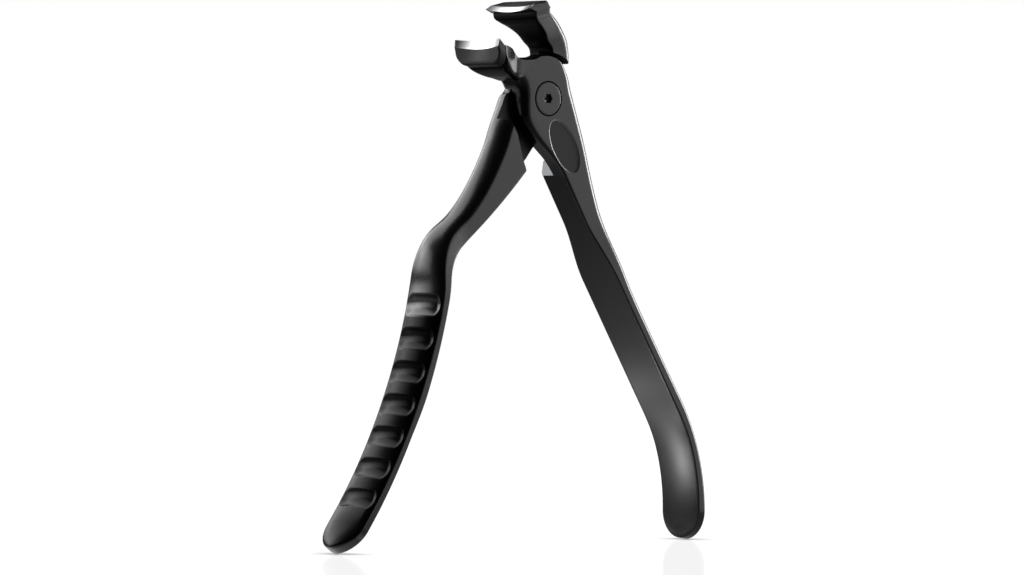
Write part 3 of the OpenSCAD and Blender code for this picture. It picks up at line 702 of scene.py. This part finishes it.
def wear_group():
    """Rubbed edges: the worn attribute, broken up by noise, brightens and smooths the surface."""
    group, enter, leave = new_group("rubbed_edge", [
        ("Color", "INPUT", "NodeSocketColor", (0.03, 0.03, 0.03, 1)),
        ("Worn Color", "INPUT", "NodeSocketColor", (0.2, 0.2, 0.21, 1)),
        ("Roughness", "INPUT", "NodeSocketFloat", 0.35),
        ("Worn Roughness", "INPUT", "NodeSocketFloat", 0.25),
        ("Amount", "INPUT", "NodeSocketFloat", 0.5),
        ("Color", "OUTPUT", "NodeSocketColor", None),
        ("Roughness", "OUTPUT", "NodeSocketFloat", None)])
    where = node(group, "ShaderNodeTexCoord").outputs["Object"]
    worn = node(group, "ShaderNodeAttribute", attribute_name="worn").outputs["Fac"]
    patch = node(group, "ShaderNodeTexNoise", {"Vector": where, "Scale": 420.0, "Detail": 3.0})
    rub = reckon(group, "MULTIPLY", worn, patch.outputs["Fac"])
    mask = reckon(group, "MULTIPLY", rub, enter.outputs["Amount"], use_clamp=True)
    tone = node(group, "ShaderNodeMix", {"Factor": mask, "A": enter.outputs["Color"],
                                         "B": enter.outputs["Worn Color"]}, data_type="RGBA")
    gloss = node(group, "ShaderNodeMix", {"Factor": mask, "A": enter.outputs["Roughness"],
                                          "B": enter.outputs["Worn Roughness"]}, data_type="FLOAT")
    group.links.new(tone.outputs["Result"], leave.inputs["Color"])
    group.links.new(gloss.outputs["Result"], leave.inputs["Roughness"])
    return group


GRAIN = grain_group()
WEAR = wear_group()


def new_material(name):
    """A material with its node tree and its Principled shader."""
    material = bpy.data.materials.new(name)
    material.use_nodes = True
    return material, material.node_tree, material.node_tree.nodes["Principled BSDF"]


# Gloss and texture; places in metres
FULL_GLOSS = 0.5
TIP_GLOSS = 0.14
ARM_FOOT = 0.12
GRAIN_HEIGHT = 0.00002
LINE_SCALE = (1400.0, 20.0, 1400.0)
# Painted shade on the bevel: spans across the jaw over which it darkens toward the rear and the front
REAR_SHADE = (0.0005, 0.0088)
FRONT_SHADE = (-0.002, -0.0088)


def zone_gloss(tree, places, zones):
    """Gloss that falls off past places on the axes: the least of the zones' ramps."""
    gloss = FULL_GLOSS
    for axis, place, blend, left in zones:
        ramp = ranged(tree, places[axis], place - blend, place, left, FULL_GLOSS)
        gloss = reckon(tree, "MINIMUM", ramp, gloss)
    return gloss


def crown_gloss(tree, normal, height, gloss):
    """Leaves the dulling to the crown and the arm's inner face: the gloss comes back on the flanks, on what
    faces right below the arm, on the arm's front and, in part, at the tip. Gloss chosen by the way a face
    turns is painted light: those faces keep their highlights, the others are shaded."""
    facing = node(tree, "ShaderNodeSeparateXYZ", {0: normal}).outputs
    on_arm = reckon(tree, "GREATER_THAN", height, ARM_FOOT)
    flank = reckon(tree, "ABSOLUTE", facing["Y"])
    right = reckon(tree, "SUBTRACT", facing["X"], on_arm)
    arm_front = reckon(tree, "MULTIPLY", facing["Y"], on_arm)
    for way, low, high, most in ((flank, 0.85, 0.97, FULL_GLOSS), (right, -0.2, 0.1, FULL_GLOSS),
                                 (arm_front, -0.4, -0.6, FULL_GLOSS), (height, 0.013, 0.004, TIP_GLOSS)):
        gloss = reckon(tree, "MAXIMUM", gloss, ranged(tree, way, low, high, 0.0, most))
    return gloss


def coated(name, color, light, worn, roughness, spread, metallic, bump, dull=(), only_crown=False):
    """Coated or turned dark steel: satin grain, clouded gloss and rubbed edges. The gloss may be dulled
    past places on the axes: zones of [axis, place, blend, gloss left], if wished only on a handle's
    crown; a single number dulls it all over. The dulled places show darker: on the grip as a matte
    finish, on the arm and the front lever's left side as painted shade."""
    material, tree, shader = new_material(name)
    grain = node(tree, "ShaderNodeGroup", node_tree=GRAIN)
    for key, value in (("Color", color), ("Light Color", light), ("Roughness", roughness),
                       ("Spread", spread)):
        grain.inputs[key].default_value = value
    wear = node(tree, "ShaderNodeGroup", node_tree=WEAR)
    tree.links.new(grain.outputs["Color"], wear.inputs["Color"])
    tree.links.new(grain.outputs["Roughness"], wear.inputs["Roughness"])
    wear.inputs["Worn Color"].default_value = worn
    tree.links.new(wear.outputs["Color"], shader.inputs["Base Color"])
    tree.links.new(wear.outputs["Roughness"], shader.inputs["Roughness"])
    rise = node(tree, "ShaderNodeBump", {"Strength": bump, "Distance": GRAIN_HEIGHT,
                                         "Height": grain.outputs["Height"]})
    tree.links.new(rise.outputs["Normal"], shader.inputs["Normal"])
    shader.inputs["Metallic"].default_value = metallic
    if isinstance(dull, float):
        shader.inputs["Specular IOR Level"].default_value = dull
    elif dull:
        where = node(tree, "ShaderNodeTexCoord").outputs
        places = node(tree, "ShaderNodeSeparateXYZ", {0: where["Object"]}).outputs
        gloss = zone_gloss(tree, places, dull)
        if only_crown:
            gloss = crown_gloss(tree, where["Normal"], places["Z"], gloss)
        tree.links.new(gloss, shader.inputs["Specular IOR Level"])
    return material


def ground_steel(name, tint, light, roughness, shade=None):
    """Ground steel: fine parallel lines from noise drawn out along the edge. A shade colour, if given, is
    painted shade that darkens it toward both sides of the jaw."""
    material, tree, shader = new_material(name)
    where = node(tree, "ShaderNodeTexCoord").outputs["Object"]
    drawn = node(tree, "ShaderNodeMapping", {"Vector": where, "Scale": LINE_SCALE})
    lines = node(tree, "ShaderNodeTexNoise", {"Vector": drawn.outputs[0], "Scale": 1.0, "Detail": 3.0})
    tone = node(tree, "ShaderNodeMix", {"Factor": lines.outputs["Fac"], "A": tint, "B": light},
                data_type="RGBA")
    gloss = reckon(tree, "MULTIPLY_ADD", lines.outputs["Fac"], 0.1, roughness)
    tree.links.new(gloss, shader.inputs["Roughness"])
    if shade:
        across = node(tree, "ShaderNodeSeparateXYZ", {0: where}).outputs["Y"]
        rear = ranged(tree, across, *REAR_SHADE, interpolation_type="SMOOTHSTEP")
        front = ranged(tree, across, *FRONT_SHADE, top=0.85, interpolation_type="SMOOTHSTEP")
        side = reckon(tree, "MAXIMUM", rear, front)
        tone = node(tree, "ShaderNodeMix", {"Factor": side, "A": tone.outputs["Result"], "B": shade},
                    data_type="RGBA")
    tree.links.new(tone.outputs["Result"], shader.inputs["Base Color"])
    shader.inputs["Metallic"].default_value = 1.0
    return material


def gray(level):
    """A gray with a trace of blue."""
    return (level, level, level * 1.05, 1)


# Left of the pivot the front lever's gloss is dulled: painted shade on the head's left edge and the neck
COAT = coated("black_satin_coat", gray(0.002), gray(0.007), gray(0.06), 0.23, 0.08, 0.0, 0.1,
              [("X", -0.0015, 0.002, 0.07)])
# The rear lever's crown is dulled on the grip as a matte finish, and on the arm as painted shade
GRIP = coated("black_grip_coat", gray(0.002), gray(0.007), gray(0.06), 0.27, 0.1, 0.0, 0.1,
              [("Z", 0.0622, 0.0008, 0.07), ("Z", 0.12, -0.006, 0.04)], True)
PLATE = coated("black_blade_coat", gray(0.003), gray(0.009), gray(0.1), 0.3, 0.08, 0.0, 0.2)
FASTENER = coated("black_turned_steel", gray(0.006), gray(0.018), gray(0.08), 0.3, 0.1, 0.0, 0.2)
OVAL = coated("black_oval_floor", gray(0.002), gray(0.006), gray(0.02), 0.35, 0.1, 0.0, 0.2, 0.24)
# Lap faces and the blades' rounded ends: rougher, as an unpolished cut, and darker than the coat as painted
# shade
LAP = coated("black_lap_face_shaded", gray(0.001), gray(0.004), gray(0.02), 0.6, 0.1, 0.0, 0.2)
# Inside the screw's drive: rougher, and darker than the head as painted shade in the recess
SOCKET = coated("drive_socket_shaded", gray(0.001), gray(0.003), gray(0.02), 0.7, 0.1, 0.0, 0.2)
# The bevel's last colour is painted shade toward both ends of the jaw
STEEL = ground_steel("ground_bevel_steel", (0.66, 0.67, 0.69, 1), (0.8, 0.81, 0.82, 1), 0.22,
                     gray(0.04))
STEP = ground_steel("ground_lap_step", (0.09, 0.093, 0.096, 1), (0.15, 0.153, 0.156, 1), 0.3)
RIM = ground_steel("bare_oval_rim", (0.16, 0.165, 0.17, 1), (0.26, 0.265, 0.27, 1), 0.4)
WASHER = coated("plain_brass", (0.5, 0.34, 0.13, 1), (0.62, 0.46, 0.2, 1), (0.7, 0.55, 0.3, 1),
                0.3, 0.1, 1.0, 0.15)
WIRE = coated("drawn_spring_wire", gray(0.4), gray(0.55), gray(0.6), 0.28, 0.1, 1.0, 0.15)


# Pieces

def dress(piece, body, replaced):
    """Finishes a piece and sets it on its body in place of the solid."""
    polish(piece)
    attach(piece, body)
    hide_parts(replaced)


dress(front_lever(), "front", "front_lever")
dress(rear_lever(), "rear", "rear_lever")
dress(paint(blade("lower_blade_ground", 1), PLATE, STEEL, LAP), "front", "lower_blade")
dress(paint(blade("upper_blade_ground", -1), PLATE, STEEL, LAP), "rear", "upper_blade")
dress(paint(pivot_screw(), FASTENER, SOCKET), "front", "pivot_screw")
dress(paint(pivot_nut(), FASTENER), "front", "pivot_nut")
for name, material in (("lap_washer", WASHER), ("return_spring", WIRE)):
    for place in frame["nodes"][name].material_slots:
        place.material = material


# Stage, light and camera

# Painted highlights, floor patches seen only in the coat's reflections: centre, reach and strength
PAINTED_HIGHLIGHT_SPOTS = [((0.02, 0.0445), 0.09, 0.42), ((0.0185, 0.0408), 0.0055, 24.0), ((0.037, 0.038), 0.005, 3.2),
         ((0.6, -0.7), 0.45, 0.9), ((-0.058, -0.004), 0.014, 3.0), ((0.24, -0.12), 0.1, 2.6),
         ((0.52, -0.32), 0.2, 2.2)]
FLOOR_HALF = 8.0
FLOOR_SHEEN = 0.16
# Reach of the painted contact shadow, in metres
CONTACT_REACH = 0.006


def spot(tree, where, centre, reach, strength, more):
    """A round patch of painted highlight on the floor, added to more: strength over the square of one plus
    (distance / reach) squared."""
    away = node(tree, "ShaderNodeVectorMath", {0: where, 1: (*centre, 0)}, operation="DISTANCE")
    share = reckon(tree, "DIVIDE", away.outputs["Value"], reach)
    wide = reckon(tree, "MULTIPLY_ADD", share, share, 1.0)
    return reckon(tree, "MULTIPLY_ADD", reckon(tree, "POWER", wide, -2.0), strength, more)


def painted_highlight_glow(tree, where, away):
    """Painted highlights that the coat mirrors: floor light far behind the clipper and in round patches."""
    around = ranged(tree, away, 0.25, 0.38, 0.02, 0.6, interpolation_type="SMOOTHSTEP")
    depth = node(tree, "ShaderNodeSeparateXYZ", {0: where}).outputs["Y"]
    behind = ranged(tree, depth, 0.0, 0.2, interpolation_type="SMOOTHSTEP")
    painted_glow = reckon(tree, "MULTIPLY", around, behind)
    for centre, reach, strength in PAINTED_HIGHLIGHT_SPOTS:
        painted_glow = spot(tree, where, centre, reach, strength, painted_glow)
    return painted_glow


def floor():
    """A wide pale floor with a faint sheen, darker where the tips touch it by a painted contact shadow, and
    with painted highlights that only glossy rays see.
    """
    mesh = bpy.data.meshes.new("floor")
    corners = [(x * FLOOR_HALF, y * FLOOR_HALF, 0) for x, y in ((-1, -1), (1, -1), (1, 1), (-1, 1))]
    mesh.from_pydata(corners, [], [(0, 1, 2, 3)])
    plane = bpy.data.objects.new("floor", mesh)
    bpy.context.scene.collection.objects.link(plane)
    material, tree, shader = new_material("pale_floor")
    shader.inputs["Roughness"].default_value = 0.6
    shader.inputs["Specular IOR Level"].default_value = 0.0
    where = node(tree, "ShaderNodeTexCoord").outputs["Object"]
    away = node(tree, "ShaderNodeVectorMath", {0: where}, operation="LENGTH").outputs["Value"]
    pale = ranged(tree, away, 0.1, 0.5, 1.06, 1.2, interpolation_type="SMOOTHSTEP")
    rays = node(tree, "ShaderNodeLightPath").outputs
    # Painted contact shadow: ambient occlusion dims the floor's light near the tips
    near = node(tree, "ShaderNodeAmbientOcclusion", {"Distance": CONTACT_REACH}, samples=8)
    shade = ranged(tree, near.outputs["AO"], 0.3, 1.0, 0.3)
    bright = reckon(tree, "MULTIPLY", shade, pale)
    # Painted highlights: the floor shines to glossy rays only, for the coat to mirror
    painted_glow = reckon(tree, "MULTIPLY", painted_highlight_glow(tree, where, away), rays["Is Glossy Ray"])
    lit = reckon(tree, "MULTIPLY_ADD", bright, rays["Is Camera Ray"], painted_glow)
    shader.inputs["Base Color"].default_value = (0.02, 0.02, 0.02, 1)
    shader.inputs["Emission Color"].default_value = (1, 1, 1, 1)
    tree.links.new(lit, shader.inputs["Emission Strength"])
    mirror = node(tree, "ShaderNodeBsdfGlossy", {"Roughness": 0.1, "Color": (1, 1, 1, 1)})
    sheen = reckon(tree, "MULTIPLY", rays["Is Camera Ray"], FLOOR_SHEEN)
    both = node(tree, "ShaderNodeMixShader", {0: sheen, 1: shader.outputs[0], 2: mirror.outputs[0]})
    tree.links.new(both.outputs[0], tree.nodes["Material Output"].inputs["Surface"])
    mesh.materials.append(material)


def area_light(name, place, size, power):
    """A soft box or card that faces the middle of the clipper and doesn't show itself."""
    light = bpy.data.lights.new(name, "AREA")
    light.shape = "RECTANGLE"
    light.size, light.size_y = size
    light.energy = power
    lamp = bpy.data.objects.new(name, light)
    lamp.location = place
    lamp.rotation_euler = (Vector(MIDDLE) - Vector(place)).to_track_quat("-Z", "Y").to_euler()
    lamp.visible_camera = False
    bpy.context.scene.collection.objects.link(lamp)


def world():
    """White to the camera, soft gray to everything else."""
    sky = bpy.data.worlds.new("studio")
    sky.use_nodes = True
    tree = sky.node_tree
    tree.nodes.clear()
    seen = node(tree, "ShaderNodeLightPath").outputs["Is Camera Ray"]
    soft = node(tree, "ShaderNodeBackground", {"Color": (1, 1, 1, 1), "Strength": 0.03})
    white = node(tree, "ShaderNodeBackground", {"Color": (1, 1, 1, 1), "Strength": 1.0})
    both = node(tree, "ShaderNodeMixShader", {0: seen, 1: soft.outputs[0], 2: white.outputs[0]})
    leave = node(tree, "ShaderNodeOutputWorld")
    tree.links.new(both.outputs[0], leave.inputs["Surface"])
    bpy.context.scene.world = sky


FOCAL_PIXELS = 6145.0
PHOTO_WIDTH = 1024.0
EYE_FROM_PIVOT = np.array([-1070.066, -1247.051, -35.317])
HEADING = math.radians(-40.4)
PITCH = math.radians(0.527)


def camera():
    """The photograph's view: from the front left, 1.64 m from the pivot and level with the handles."""
    lens = bpy.data.cameras.new("camera")
    lens.sensor_width = 36.0
    lens.lens = FOCAL_PIXELS / PHOTO_WIDTH * lens.sensor_width
    eye = bpy.data.objects.new("camera", lens)
    eye.location = (PIVOT + EYE_FROM_PIVOT) * MM
    level = math.cos(PITCH)
    look = Vector((-math.sin(HEADING) * level, math.cos(HEADING) * level, -math.sin(PITCH)))
    eye.rotation_euler = look.to_track_quat("-Z", "Y").to_euler()
    bpy.context.scene.collection.objects.link(eye)
    bpy.context.scene.camera = eye


floor()
world()
camera()
MIDDLE = (0.0, 0.0, 0.08)
area_light("softbox_overhead_rear", (-0.15, 0.9, 1.05), (1.2, 1.55), 15.2)
area_light("softbox_left_rear", (-0.66, 0.8, 0.42), (0.8, 0.45), 2.26)
area_light("softbox_left_core", (-0.65, 0.79, 0.38), (0.34, 0.36), 0.58)
area_light("softbox_rear_low", (-0.15, 1.09, 0.35), (1.1, 0.3), 1.87)
area_light("softbox_right", (1.2, -0.26, 0.25), (0.5, 0.45), 9.9)
area_light("softbox_front_right", (0.85, -1.0, 0.3), (0.9, 1.1), 4.2)
area_light("card_right_rear", (1.08, 0.456, 0.3), (0.4, 0.5), 0.7)
area_light("card_front", (0.22, -1.28, 0.06), (0.6, 0.25), 0.165)
area_light("card_backdrop", (1.3, 1.52, 0.11), (1.0, 0.12), 0.38)
bpy.context.scene.view_settings.view_transform = "Standard"
